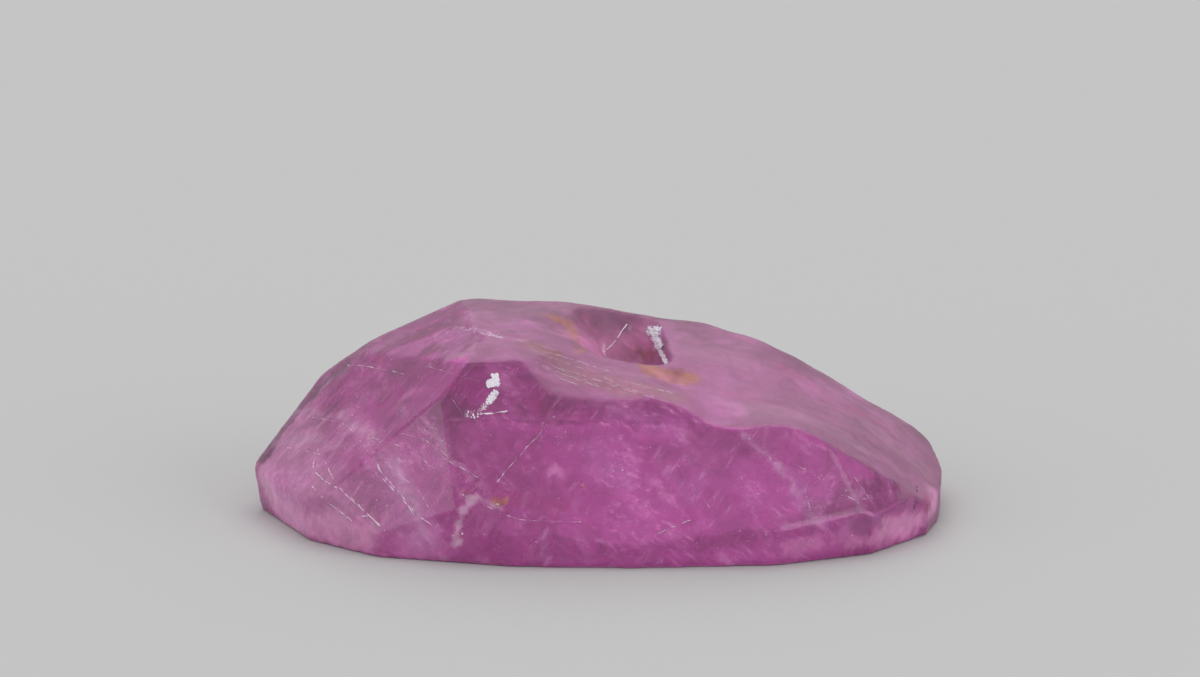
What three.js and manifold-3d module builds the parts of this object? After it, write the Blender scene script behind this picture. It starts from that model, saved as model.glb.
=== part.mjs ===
// Raw ruby crystal: one free-form piece of pink corundum, partly polished.
// Flat polished facets cut the left end, the whole front and the girdle. The top, the long
// right-hand slope and the back keep the lumpy natural skin, with one etched pit on top.
//
// Millimetres, +Z up. The stone rests on its flat base in the plane Z = 0, with its length
// along X and the viewer of its best side looking along +Y.

import * as THREE from 'three';
import { mergeVertices } from 'three/addons/utils/BufferGeometryUtils.js';
import Module from 'manifold-3d';

// Finish, from the photograph
const PINK = 0x9e4c80;
const ROUGHNESS = 0.25;
const METALNESS = 0.0;

// Overall half sizes and height of the stone
const HALF_LENGTH = 24.0;
const HALF_DEPTH = 14.5;
const HEIGHT = 14.3;

// Natural skin: a star-shaped body around its heart, smoothly bounded by a few broad planes
const SKIN_HEART = new THREE.Vector3(0, 0, 4);
const SKIN_PROPORTIONS = new THREE.Vector3(HALF_LENGTH, HALF_DEPTH, 0.6 * HEIGHT);
const SKIN_DETAIL = 23;
const SKIN_ROUNDING = 0.4;
const LUMP_HEIGHT = 0.28;
const LUMP_SIZE = 6.5;
const GRAIN_HEIGHT = 0.1;
const GRAIN_SIZE = 2.3;

// Hollows of the top: how far they may open upwards and sideways, and the relief of their walls
const HOLLOW_TOP = 1.4 * HEIGHT;
const HOLLOW_REACH = 11;
const HOLLOW_PROPORTIONS = new THREE.Vector3(1, 1, 1);
const HOLLOW_LUMP_HEIGHT = 0.2;
const HOLLOW_LUMP_SIZE = 1.9;

// Side of the block that stands for everything a flat lap grinds away
const LAP_SIZE = 6 * HALF_LENGTH;

// A plane of the stone, in a gem cutter's terms. The azimuth is the compass direction it faces,
// in degrees counter-clockwise from +X; the slope is its tilt away from a flat table; and it
// passes through the point x, y, z.
const plane = (azimuth, slope, x, y, z) => {
  const turn = THREE.MathUtils.degToRad(azimuth);
  const tilt = THREE.MathUtils.degToRad(slope);
  const normal = new THREE.Vector3(
    Math.sin(tilt) * Math.cos(turn),
    Math.sin(tilt) * Math.sin(turn),
    Math.cos(tilt),
  );
  return { normal, point: new THREE.Vector3(x, y, z) };
};

const SKIN_PLANES = {
  top: plane(321, 3.2, -8, 0, 14.05),
  upperRightSlope: plane(326, 16, 3.8, 3.4, 13.0),
  lowerRightSlope: plane(352, 33, 14.6, 5, 9.5),
  rightShoulder: plane(352, 40, 20.9, 3, 5.3),
  rightBrow: plane(352, 56, 23.4, 0, 4.0),
  rightEnd: plane(356, 84, 24.1, 0, 2.2),
  backShoulder: plane(78, 28, 0, 3.1, 13.85),
  backRightShoulder: plane(55, 38, 14.6, 5, 9.3),
  backWall: plane(90, 62, 0, 12.6, 8.2),
  backFoot: plane(88, 86, 0, 14.4, 3),
  backLeftFoot: plane(125, 80, -13, 11.8, 3),
  backRightFoot: plane(52, 82, 16.5, 11, 3),
  frontFoot: plane(270, 90, 0, -16, 0),
  leftFoot: plane(180, 90, -26, 0, 0),
  underside: plane(0, 180, 0, 0, -2),
};

// Broad rises and dips of the skin: where, how wide and how high
const SWELLS = {
  frontDip: { x: 8.4, y: -11.6, width: 2.3, rise: -1.15 },
  frontRise: { x: 12.8, y: -11.4, width: 2.1, rise: 0.6 },
  topRise: { x: -2.5, y: 3.6, width: 2.4, rise: 0.25 },
  pitBowl: { x: -1.9, y: -0.8, width: 1.9, rise: -0.9 },
  pitLedge: { x: 5.6, y: -6.4, width: 1.5, rise: -0.6 },
  ledgeLip: { x: 3.4, y: -8.4, width: 1.6, rise: 0.25 },
  slopeDip: { x: 13.5, y: -3.0, width: 3.2, rise: -0.4 },
  slopeRise: { x: 18.2, y: -4.0, width: 2.6, rise: 0.35 },
  backDip: { x: -5.5, y: 9.5, width: 3.4, rise: -1.1 },
  backRise: { x: 4.5, y: 11.0, width: 3.0, rise: 0.7 },
  backRightDip: { x: 12.5, y: 9.0, width: 2.6, rise: -0.8 },
  endDip: { x: 19.4, y: 6.2, width: 2.2, rise: -0.32 },
};

const POLISHED_FACETS = {
  base: plane(0, 180, 0, 0, 0),
  front: plane(270, 64, 0, -14.5, 2.0),
  frontLeft: plane(246, 69, -15.5, -12.0, 1.5),
  frontRight: plane(288, 62, 13.9, -13.6, 2.2),
  rightFront: plane(314, 57, 19.2, -11.2, 2.5),
  leftFront: plane(207, 46, -14.5, -1.6, 11.5),
  leftNose: plane(202, 45, -24.1, 0, 3.4),
  leftSide: plane(186, 49, -24.1, 0, 3.4),
  leftShoulder: plane(184, 34, -19.7, 3, 8.9),
  strip: plane(196, 26, -10.3, 3, 14.1),
  stripEnd: plane(262, 13, -7, -9.2, 13.1),
  backWindow: plane(82, 56, 3, 11.6, 7.9),
  backLeftUpper: plane(127, 37, -15.3, 3, 11.8),
  backLeftMiddle: plane(134, 44, -19.7, 3, 8.9),
  backLeftLower: plane(154, 64, -24.1, 0, 3.4),
};

const GIRDLE_FACETS = {
  leftTip: plane(205.7, 99, -23.4, -1.0, 0),
  leftCorner: plane(230.7, 96, -20.0, -8.0, 0),
  left: plane(256, 94, -15.3, -11.9, 0),
  middle: plane(267.8, 92, -5.7, -14.25, 0),
  right: plane(274, 92, 6, -14.3, 0),
  rightCorner: plane(291.8, 94, 18.5, -11.3, 0),
  rightFlank: plane(319, 95, 18.5, -11.3, 0),
  rightNose: plane(344.6, 94, 22.6, -6.6, 0),
  rightTip: plane(356, 93, 23.8, 0, 0),
  backRightTip: plane(12, 92, 23.7, 3.0, 0),
  backLeftTip: plane(152, 97, -23.4, 0.4, 0),
  backLeftCorner: plane(133, 95, -20, 7, 0),
};

// The scoop on the brow and the etched pit behind it: each hollow as the walls that the stone
// keeps around it
const HOLLOWS = {
  scoop: {
    heart: new THREE.Vector3(1, -11, 14.5),
    detail: 12,
    rounding: 0.3,
    walls: [
      plane(272, 25, 0, -10.3, 10.75),
      plane(326, 50, -4.6, -9.6, 12.2),
      plane(240, 40, 6.0, -10, 10.8),
    ],
  },
  pit: {
    heart: new THREE.Vector3(1.6, -1.4, 13.0),
    detail: 10,
    rounding: 0.22,
    walls: [
      plane(264, 70, 2.4, 3.5, 13.2),
      plane(306, 60, -0.9, 2.6, 13.7),
      plane(352, 52, -2.2, -1.5, 13.5),
      plane(42, 50, -1.6, -4.2, 13.3),
      plane(92, 58, 1.2, -5.4, 12.8),
      plane(150, 60, 4.4, -5.0, 12.2),
      plane(196, 68, 4.9, 0, 12.7),
      plane(25, 12, 0, 0, 10.4),
    ],
  },
};

// Pseudo-random value in -1..1 that depends only on the lattice point
const latticeValue = (i, j, k) => {
  const wave = Math.sin(i * 127.1 + j * 311.7 + k * 74.7) * 43758.5453;
  return 2 * (wave - Math.floor(wave)) - 1;
};

const LATTICE_CORNERS = [0, 1, 2, 3, 4, 5, 6, 7].map((n) => [n & 1, (n >> 1) & 1, (n >> 2) & 1]);

const smoothStep = (t) => t * t * (3 - 2 * t);

// Smooth noise in -1..1 with features about one unit across
const noise = (p) => {
  const cell = p.clone().floor();
  const [fx, fy, fz] = p.clone().sub(cell).toArray().map(smoothStep);
  let sum = 0;
  for (const [i, j, k] of LATTICE_CORNERS) {
    const weight = (i ? fx : 1 - fx) * (j ? fy : 1 - fy) * (k ? fz : 1 - fz);
    sum += weight * latticeValue(cell.x + i, cell.y + j, cell.z + k);
  }
  return sum;
};

const lumps = (p, size, height) => height * noise(p.clone().divideScalar(size));

const swell = (p) => Object.values(SWELLS).reduce((sum, { x, y, width, rise }) => {
  const squares = ((p.x - x) ** 2 + (p.y - y) ** 2) / width ** 2;
  return sum + rise * Math.exp(-squares);
}, 0);

const skinRelief = (p) => (
  swell(p) + lumps(p, LUMP_SIZE, LUMP_HEIGHT) + lumps(p, GRAIN_SIZE, GRAIN_HEIGHT));

const hollowRelief = (p) => lumps(p, HOLLOW_LUMP_SIZE, HOLLOW_LUMP_HEIGHT);

// Distance from the heart to the rounded hull of the planes, along a direction
const reach = (planes, heart, rounding, direction) => {
  const distances = [];
  for (const { normal, point } of planes) {
    const facing = normal.dot(direction);
    if (facing > 1e-3) distances.push(normal.dot(point.clone().sub(heart)) / facing);
  }
  const shortest = Math.min(...distances);
  const total = distances.reduce((sum, d) => sum + Math.exp((shortest - d) / rounding), 0);
  return shortest - rounding * Math.log(total);
};

// Closed star-shaped body: an icosphere, flattened to the body's proportions so that its
// triangles stay even, drawn out to the hull, with relief along the radius
const roundedBody = (planes, heart, detail, proportions, rounding, relief) => {
  const geometry = new THREE.IcosahedronGeometry(1, detail);
  const positions = geometry.attributes.position;
  const direction = new THREE.Vector3();
  for (let i = 0; i < positions.count; i += 1) {
    direction.fromBufferAttribute(positions, i).multiply(proportions).normalize();
    const length = reach(planes, heart, rounding, direction);
    const spot = direction.clone().multiplyScalar(length).add(heart);
    spot.addScaledVector(direction, relief(spot));
    positions.setXYZ(i, spot.x, spot.y, spot.z);
  }
  return geometry;
};

// Block whose underside lies on the plane
const lapBlock = ({ normal, point }) => {
  const turn = new THREE.Quaternion().setFromUnitVectors(new THREE.Vector3(0, 0, 1), normal);
  const block = new THREE.BoxGeometry(LAP_SIZE, LAP_SIZE, LAP_SIZE);
  block.translate(0, 0, LAP_SIZE / 2);
  block.applyQuaternion(turn);
  block.translate(point.x, point.y, point.z);
  return block;
};

const wasm = await Module();
wasm.setup();

const toSolid = (geometry) => {
  const bare = geometry.clone();
  bare.deleteAttribute('normal');
  bare.deleteAttribute('uv');
  const merged = mergeVertices(bare, 1e-5);
  return new wasm.Manifold(new wasm.Mesh({
    numProp: 3,
    vertProperties: Float32Array.from(merged.attributes.position.array),
    triVerts: Uint32Array.from(merged.index.array),
  }));
};

const toGeometry = (solid) => {
  const { vertProperties, triVerts } = solid.getMesh();
  const geometry = new THREE.BufferGeometry();
  geometry.setAttribute('position', new THREE.BufferAttribute(vertProperties, 3));
  geometry.setIndex(new THREE.BufferAttribute(triVerts, 1));
  geometry.computeVertexNormals();
  return geometry;
};

const makeSkin = () => toSolid(roundedBody(
  Object.values(SKIN_PLANES), SKIN_HEART, SKIN_DETAIL, SKIN_PROPORTIONS, SKIN_ROUNDING, skinRelief));

// Hollow that leaves its walls standing and is open upwards and to the outside
const makeHollow = ({ heart, detail, rounding, walls }) => {
  const standing = walls.map(({ normal, point }) => ({ normal: normal.clone().negate(), point }));
  const open = [
    plane(0, 0, 0, 0, HOLLOW_TOP),
    plane(0, 90, heart.x + HOLLOW_REACH, 0, 0),
    plane(180, 90, heart.x - HOLLOW_REACH, 0, 0),
    plane(90, 90, 0, heart.y + HOLLOW_REACH, 0),
    plane(270, 90, 0, heart.y - HOLLOW_REACH, 0),
  ];
  return toSolid(roundedBody(
    [...standing, ...open], heart, detail, HOLLOW_PROPORTIONS, rounding, hollowRelief));
};

const makeStone = () => {
  let stone = makeSkin();
  for (const hollow of Object.values(HOLLOWS)) stone = stone.subtract(makeHollow(hollow));
  for (const facet of [...Object.values(POLISHED_FACETS), ...Object.values(GIRDLE_FACETS)]) {
    stone = stone.subtract(toSolid(lapBlock(facet)));
  }
  return toGeometry(stone);
};

// Move the middle of the stone's outline over the origin; its base is already at Z = 0
const centre = (geometry) => {
  geometry.computeBoundingBox();
  const middle = geometry.boundingBox.getCenter(new THREE.Vector3());
  return geometry.translate(-middle.x, -middle.y, 0);
};

const material = new THREE.MeshStandardMaterial({ color: PINK, roughness: ROUGHNESS, metalness: METALNESS });
const crystal = new THREE.Mesh(centre(makeStone()), material);
crystal.name = 'ruby_crystal';

const part = new THREE.Group();
part.add(crystal);

export default part;
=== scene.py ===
import sys
import logging
import math
from dataclasses import dataclass, field
from enum import Enum
from typing import Any, Sequence

import bmesh
import bpy
import numpy as np
from mathutils import Matrix, Vector, noise
from mathutils.bvhtree import BVHTree


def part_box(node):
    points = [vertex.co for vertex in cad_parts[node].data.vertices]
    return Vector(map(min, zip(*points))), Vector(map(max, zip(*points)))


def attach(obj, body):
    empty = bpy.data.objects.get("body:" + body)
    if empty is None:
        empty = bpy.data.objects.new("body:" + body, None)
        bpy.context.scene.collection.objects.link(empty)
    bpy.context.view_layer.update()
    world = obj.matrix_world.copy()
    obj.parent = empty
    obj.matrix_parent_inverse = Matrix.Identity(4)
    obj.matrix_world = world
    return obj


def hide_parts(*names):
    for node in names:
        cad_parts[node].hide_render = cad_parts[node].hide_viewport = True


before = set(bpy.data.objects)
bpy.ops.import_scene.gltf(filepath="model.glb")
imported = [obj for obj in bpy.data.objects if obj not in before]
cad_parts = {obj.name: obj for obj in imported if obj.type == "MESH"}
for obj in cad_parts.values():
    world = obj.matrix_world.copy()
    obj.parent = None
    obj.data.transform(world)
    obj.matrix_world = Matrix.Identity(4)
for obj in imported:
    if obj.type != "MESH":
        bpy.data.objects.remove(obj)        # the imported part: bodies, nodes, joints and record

# Raw ruby crystal, seen on a pale table: the stone with its polished facets and natural skin,
# and the healed cracks, needles, flecks and iron stains inside it. Lengths are in metres where
# nothing else is said, and pixels are those of the photograph.

MM = 0.001
REFRACTION = 1.77
MIDDLE = 0.5             # what a noise wavers about
WHITE = (1.0, 1.0, 1.0, 1.0)
LOG = logging.getLogger("ruby")
Pixel = tuple[float, float]
Span = tuple[float, float]
Colour = tuple[float, float, float]
Grain = tuple[float, float, float]


def linked(name: str, data: Any) -> bpy.types.Object:
    """Return a new object with this data, in the scene."""
    made = bpy.data.objects.new(name, data)
    bpy.context.scene.collection.objects.link(made)
    return made


def grown_mesh(thing: bpy.types.Object) -> bpy.types.Mesh:
    """Return what an object's modifiers make as a plain mesh, and take them away."""
    graph = bpy.context.evaluated_depsgraph_get()
    made = bpy.data.meshes.new_from_object(thing.evaluated_get(graph))
    thing.modifiers.clear()
    return made


# Node building


class Value:
    """A number's socket in a node tree, on which maths is written as an expression."""

    def __init__(self, graph: "Graph", socket: bpy.types.NodeSocket) -> None:
        """Keep the socket and the tree that it belongs to."""
        self.graph = graph
        self.socket = socket

    def _maths(self, operation: str, *terms: Any, clamp: bool = False) -> "Value":
        """Add one Math node.

        Args:
            operation: The Math node's operation.
            terms: Its inputs in order, values or numbers.
            clamp: Whether the result is held between 0 and 1.

        Returns:
            The node's result.
        """
        settings = {"operation": operation, "use_clamp": clamp}
        made = self.graph.node("ShaderNodeMath", settings, dict(enumerate(terms)))
        return Value(self.graph, made.outputs[0])

    def __add__(self, other: Any) -> "Value":
        """Return the sum."""
        return self._maths("ADD", self, other)

    __radd__ = __add__

    def __sub__(self, other: Any) -> "Value":
        """Return this less the other."""
        return self._maths("SUBTRACT", self, other)

    def __rsub__(self, other: Any) -> "Value":
        """Return the other less this."""
        return self._maths("SUBTRACT", other, self)

    def __mul__(self, other: Any) -> "Value":
        """Return the product."""
        return self._maths("MULTIPLY", self, other)

    __rmul__ = __mul__

    def __truediv__(self, other: Any) -> "Value":
        """Return this over the other."""
        return self._maths("DIVIDE", self, other)

    def __rtruediv__(self, other: Any) -> "Value":
        """Return the other over this."""
        return self._maths("DIVIDE", other, self)

    def power(self, exponent: float) -> "Value":
        """Return this raised to a power."""
        return self._maths("POWER", self, exponent)

    def larger(self, other: Any) -> "Value":
        """Return the larger of the two."""
        return self._maths("MAXIMUM", self, other)

    def held(self) -> "Value":
        """Return this, held between 0 and 1."""
        return self._maths("ADD", self, 0.0, clamp=True)

    def ramp(self, low: float, high: float) -> "Value":
        """Ease from 0 to 1 as this goes from one number to another.

        Args:
            low: Where the result is 0.
            high: Where the result is 1. It may be below low.

        Returns:
            The eased mask.
        """
        swap = high < low
        ends = {"From Min": min(low, high), "From Max": max(low, high),
                "To Min": 1.0 if swap else 0.0, "To Max": 0.0 if swap else 1.0}
        made = self.graph.node("ShaderNodeMapRange", {"interpolation_type": "SMOOTHSTEP"},
                               {"Value": self, **ends})
        return Value(self.graph, made.outputs[0])


class Graph:
    """One node tree, shader or geometry, and the one way that nodes are added to it."""

    def __init__(self, tree: bpy.types.NodeTree) -> None:
        """Take over a tree and empty it."""
        self.tree = tree
        tree.nodes.clear()

    def node(self, kind: str, settings: dict[str, Any] | None = None,
             inputs: dict[Any, Any] | None = None) -> bpy.types.Node:
        """Add a node.

        Args:
            kind: The node's type.
            settings: Its properties, set before its sockets are touched.
            inputs: Values or links by socket name or number.

        Returns:
            The node.
        """
        made = self.tree.nodes.new(kind)
        for name, value in (settings or {}).items():
            setattr(made, name, value)
        for key, value in (inputs or {}).items():
            socket = made.inputs[key]
            if isinstance(value, Value):
                value = value.socket
            if isinstance(value, bpy.types.NodeSocket):
                self.tree.links.new(value, socket)
            else:
                socket.default_value = value
        return made

    def vector(self, operation: str, *terms: Any, scale: Any = None) -> bpy.types.NodeSocket:
        """Add one Vector Math node.

        Args:
            operation: The node's operation.
            terms: Its vectors in order.
            scale: The factor, for the operation SCALE.

        Returns:
            The resulting vector.
        """
        inputs: dict[Any, Any] = dict(enumerate(terms))
        if scale is not None:
            inputs["Scale"] = scale
        return self.node("ShaderNodeVectorMath", {"operation": operation}, inputs).outputs[0]

    def mix(self, share: Value, first: Any, second: Any) -> bpy.types.NodeSocket:
        """Mix two colours.

        Args:
            share: How much of the second colour there is.
            first: The first colour, a value, a socket or three numbers.
            second: The second colour.

        Returns:
            The mixed colour.
        """
        settings = {"data_type": "RGBA", "clamp_factor": True}
        ends = [(*end, 1.0) if isinstance(end, tuple) else end for end in (first, second)]
        made = self.node("ShaderNodeMix", settings, {0: share, 6: ends[0], 7: ends[1]})
        return made.outputs[2]

    def noise(self, where: Any, per_mm: float, detail: float, rough: float,
              output: int = 0) -> Value:
        """Read a noise texture.

        Args:
            where: The position, in metres.
            per_mm: Lumps to the millimetre.
            detail: How many finer layers are added.
            rough: How strong those are.
            output: 0 for the number, 1 for the colour.

        Returns:
            The noise, around 0.5.
        """
        made = self.node("ShaderNodeTexNoise", {}, {
            "Vector": where, "Scale": per_mm / MM, "Detail": detail, "Roughness": rough})
        return Value(self, made.outputs[output])

    def turned(self, where: Any, turn: Colour, stretch: Colour) -> bpy.types.NodeSocket:
        """Return a position turned and stretched, so that a noise read there has a grain."""
        made = self.node("ShaderNodeMapping", {"vector_type": "TEXTURE"}, {
            "Vector": where, "Rotation": turn, "Scale": stretch})
        return made.outputs[0]

    def attribute(self, name: str, output: str = "Fac") -> Value:
        """Read one of the mesh's point attributes."""
        made = self.node("ShaderNodeAttribute", {"attribute_name": name})
        return Value(self, made.outputs[output])

    def chance(self, low: Any, high: Any, seed: bpy.types.NodeSocket) -> Value:
        """Add one Random Value node.

        Args:
            low: The least result, a number or a vector.
            high: The largest result.
            seed: The seed's socket.

        Returns:
            The random number or vector.
        """
        number = isinstance(low, float)
        first, kind = (2, "FLOAT") if number else (0, "FLOAT_VECTOR")
        made = self.node("FunctionNodeRandomValue", {"data_type": kind}, {
            first: low, first + 1: high, "Seed": seed})
        return Value(self, made.outputs[1 if number else 0])


def new_material(name: str) -> tuple[bpy.types.Material, Graph]:
    """Return a new material and its emptied tree."""
    made = bpy.data.materials.new(name)
    made.use_nodes = True
    return made, Graph(made.node_tree)


# The view


@dataclass(frozen=True)
class View:
    """The photograph's view of the stone."""

    photo_width: float = 1200.0
    photo_height: float = 677.0
    heart: Pixel = (600.0, 460.0)
    elevation: float = math.radians(15.0)
    distance: float = 450 * MM
    frame_width: float = 83.5 * MM
    sensor: float = 36.0         # in millimetres, as Blender has it
    near: float = 10 * MM
    target: Vector = field(default_factory=lambda: Vector((0.10, -0.17, 12.27)) * MM)

    def toward(self) -> Vector:
        """Return the direction from the target to the camera."""
        return Vector((0.0, -math.cos(self.elevation), math.sin(self.elevation)))

    def eye(self) -> Vector:
        """Return where the camera stands."""
        return self.target + self.distance * self.toward()

    def ray(self, pixel: Pixel) -> Vector:
        """Find the direction of sight through a point of the photograph.

        Args:
            pixel: Its column and row, counted from the upper left corner.

        Returns:
            The direction, of length 1.
        """
        across = Vector((1.0, 0.0, 0.0))
        upward = Vector((0.0, math.sin(self.elevation), math.cos(self.elevation)))
        pitch = self.frame_width / self.photo_width
        right = (pixel[0] - self.photo_width / 2) * pitch
        up = (self.photo_height / 2 - pixel[1]) * pitch
        return (right * across + up * upward - self.distance * self.toward()).normalized()

    def place(self) -> None:
        """Add the camera and make it the scene's."""
        data = bpy.data.cameras.new("photo_view")
        data.sensor_width = self.sensor
        data.lens = self.sensor * self.distance / self.frame_width
        data.clip_start = self.near
        camera = linked("photo_view", data)
        camera.location = self.eye()
        camera.rotation_euler = (math.pi / 2 - self.elevation, 0.0, 0.0)
        bpy.context.scene.camera = camera


# The stone


@dataclass
class Stone:
    """The stone: its surface, and the finder of places on and in it."""

    name: str = "ruby_stone"
    node: str = "ruby_crystal"
    weld: float = 0.001 * MM
    grid: float = 0.21 * MM
    ease_passes: int = 3
    ease_share: float = 0.5
    flat_area: float = 9.0 * MM * MM
    flat_angle: float = math.radians(0.6)
    wear: float = 40.0
    fade_passes: int = 2
    least_skin: float = 0.01
    relief_from: float = 0.15 * MM       # the height over the base at which the relief begins
    base_reach: float = 0.12 * MM
    relief: float = 0.055 * MM
    fine_relief: float = 0.022 * MM
    relief_per_mm: float = 0.85
    fine_relief_per_mm: float = 3.1
    fibre_run: Colour = (0.55, 0.5, 0.3)     # along X, along Y, and X for each Z
    nudge: float = 0.008
    skip: float = 0.05 * MM
    room_share: float = 0.85
    surface: BVHTree | None = None
    body: bpy.types.Object | None = None

    def source(self) -> bmesh.types.BMesh:
        """Return a merged copy of the CAD node's mesh."""
        mesh = bmesh.new()
        mesh.from_mesh(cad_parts[self.node].data)
        bmesh.ops.remove_doubles(mesh, verts=mesh.verts, dist=self.weld)
        mesh.normal_update()
        return mesh

    def flats(self, mesh: bmesh.types.BMesh) -> set[int]:
        """Find the faces that belong to flat cut facets.

        Args:
            mesh: The merged copy.

        Returns:
            The numbers of those faces.
        """
        mesh.faces.ensure_lookup_table()
        found: set[int] = set()
        seen: set[int] = set()
        for start in mesh.faces:
            if start.index in seen:
                continue
            seen.add(start.index)
            group, queue = [start], [start]
            while queue:
                face = queue.pop()
                for edge in face.edges:
                    for near in edge.link_faces:
                        alike = near.normal.angle(start.normal, 1.0) < self.flat_angle
                        if near.index not in seen and alike:
                            seen.add(near.index)
                            group.append(near)
                            queue.append(near)
            if sum(face.calc_area() for face in group) > self.flat_area:
                found |= {face.index for face in group}
        return found

    def build(self) -> bpy.types.Object:
        """Make the stone's finished mesh, with its worn edges and the relief of its skin.

        Returns:
            The stone's object.
        """
        source = self.source()
        flats = self.flats(source)
        nearest = BVHTree.FromBMesh(source)
        data = bpy.data.meshes.new(self.name)
        source.to_mesh(data)
        stone = linked(self.name, data)
        remesh = stone.modifiers.new("even_grid", "REMESH")
        remesh.mode = "VOXEL"
        remesh.voxel_size = self.grid
        fine = grown_mesh(stone)
        stone.data = fine
        fine.name = self.name
        mesh = bmesh.new()
        mesh.from_mesh(fine)
        skin = self.skin_share(mesh, nearest, flats)
        low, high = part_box(self.node)
        for _ in range(self.ease_passes):
            bmesh.ops.smooth_vert(mesh, verts=mesh.verts, factor=self.ease_share,
                                  use_axis_x=True, use_axis_y=True, use_axis_z=True)
        mesh.normal_update()
        for vert, share in zip(mesh.verts, skin):
            if share > self.least_skin and vert.co.z > self.relief_from:
                vert.co += vert.normal * share * self.lift(vert.co)
            if vert.co.z < self.base_reach:
                vert.co.z = max(vert.co.z, 0.0)
            for axis in range(3):
                vert.co[axis] = min(max(vert.co[axis], low[axis]), high[axis])
        bmesh.ops.triangulate(mesh, faces=mesh.faces)
        mesh.normal_update()
        for face in mesh.faces:
            face.smooth = True
        worn = self.worn_share(mesh, nearest, skin)
        mesh.to_mesh(fine)
        for name, shares in (("skin", skin), ("worn", worn)):
            fine.attributes.new(name, "FLOAT", "POINT").data.foreach_set("value", shares)
        self.surface = BVHTree.FromBMesh(mesh)
        self.body = stone
        source.free()
        mesh.free()
        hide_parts(self.node)
        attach(stone, "root")
        return stone

    def worn_share(self, mesh: bmesh.types.BMesh, nearest: BVHTree,
                   skin: list[float]) -> list[float]:
        """Say for each point how worn it is, as the edges between the cut facets are.

        Args:
            mesh: The fine mesh.
            nearest: The finder of the closest face of the source mesh.
            skin: The share of natural skin at each point.

        Returns:
            One share per point, highest where the surface turns away from its facet.
        """
        worn = []
        for vert, share in zip(mesh.verts, skin):
            turned = 1 - vert.normal.dot(nearest.find_nearest(vert.co)[1])
            worn.append(min(1.0, max(0.0, turned * self.wear)) * (1 - share))
        return self.eased(mesh, worn)

    def eased(self, mesh: bmesh.types.BMesh, share: list[float]) -> list[float]:
        """Return the shares, evened out with those of the points around them."""
        for _ in range(self.fade_passes):
            share = [(share[v.index] + sum(share[e.other_vert(v).index] for e in v.link_edges))
                     / (1 + len(v.link_edges)) for v in mesh.verts]
        return share

    def skin_share(self, mesh: bmesh.types.BMesh, nearest: BVHTree,
                   flats: set[int]) -> list[float]:
        """Say for each point how much of it is natural skin.

        Args:
            mesh: The fine mesh.
            nearest: The finder of the closest face of the source mesh.
            flats: The source mesh's flat faces.

        Returns:
            One share per point, eased across the borders.
        """
        share = [0.0 if nearest.find_nearest(v.co)[2] in flats else 1.0 for v in mesh.verts]
        return self.eased(mesh, share)

    def lift(self, place: Vector) -> float:
        """Work out how far the skin stands out at a point.

        Args:
            place: The point.

        Returns:
            The height, in metres.
        """
        along, across, slant = self.fibre_run
        fibre = Vector((place.x * along + place.z * slant, place.y * across, place.z)) / MM
        broad = noise.fractal(fibre * self.relief_per_mm, 1.0, 2.0, 3,
                              noise_basis="PERLIN_ORIGINAL")
        fine = noise.noise(place / MM * self.fine_relief_per_mm, noise_basis="PERLIN_ORIGINAL")
        return self.relief * broad + self.fine_relief * fine

    def at(self, view: View, pixel: Pixel) -> Vector:
        """Find the point of the surface that shows at a pixel of the photograph.

        Args:
            view: The photograph's view.
            pixel: Its column and row.

        Returns:
            The point.
        """
        return self.inside(view, pixel, 0.0)

    def inside(self, view: View, pixel: Pixel, depth: float) -> Vector:
        """Find a point in the stone that shows at a pixel, bending the line of sight.

        Args:
            view: The photograph's view.
            pixel: Its column and row.
            depth: How far behind the surface it lies along the bent line.

        Returns:
            The point.
        """
        hit, across, down = None, pixel[0], pixel[1]
        while hit is None:
            line = view.ray((across, down))
            hit, normal, _, _ = self.surface.ray_cast(view.eye(), line)
            across += self.nudge * (view.heart[0] - across)
            down += self.nudge * (view.heart[1] - down)
        cosine = -line.dot(normal)
        ratio = 1 / REFRACTION
        inward = ratio * cosine - math.sqrt(1 - ratio ** 2 * (1 - cosine ** 2))
        bent = (ratio * line + inward * normal).normalized()
        _, _, _, room = self.surface.ray_cast(hit + bent * self.skip, bent)
        reach = depth if room is None else min(depth, self.room_share * room)
        return hit + bent * reach


# Finishes


class Tone(Enum):
    """The stone's colours, each with how milky the stone is there. Some are painted light and
    shade, as marked.
    """

    PALE = ((0.65, 0.245, 0.49), 0.66)
    # Painted light: a bright milky pink laid on the rims where lamp light and the table's
    # reflection fall.
    GLOW = ((0.80, 0.34, 0.60), 0.78)
    SKIN = ((0.385, 0.140, 0.270), 0.70)
    PALE_SKIN = ((0.46, 0.195, 0.340), 0.74)
    # Painted shade: a dark wine colour that darkens the cut strip and the clear part below it.
    STRIP = ((0.215, 0.026, 0.122), 0.90)
    PIT = ((0.80, 0.27, 0.52), 0.76)
    VEIL = ((0.76, 0.40, 0.64), 0.60)
    LILAC = ((0.63, 0.21, 0.55), 0.50)
    VIVID = ((0.78, 0.06, 0.50), 0.20)
    DEEP = ((0.50, 0.035, 0.30), 0.16)
    # Painted dark reflection: a dark plum laid where a cut face mirrors the dark surroundings.
    PAINTED_DARK_REFLECTION = ((0.20, 0.06, 0.15), 0.70)
    ROSE = ((0.54, 0.14, 0.32), 0.55)
    RED = ((0.50, 0.05, 0.17), 0.45)
    TAN = ((0.40, 0.17, 0.22), 0.80)
    OCHRE = ((0.46, 0.18, 0.09), 0.90)
    RUST = ((0.27, 0.07, 0.04), 0.92)
    MOSS = ((0.09, 0.09, 0.05), 0.95)
    # Pale frost: real in the arch's healed cracks, and a painted highlight on the top's worn rim
    # and in the pit.
    FROST_AND_PAINTED_HIGHLIGHT = ((0.72, 0.52, 0.66), 0.90)


@dataclass(frozen=True)
class Patch:
    """A soft-edged patch or streak of colour along pixels, its half width in millimetres."""

    tone: Tone
    path: tuple[Pixel, ...]
    half_width: float
    share: float
    edge: float = 0.8


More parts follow.
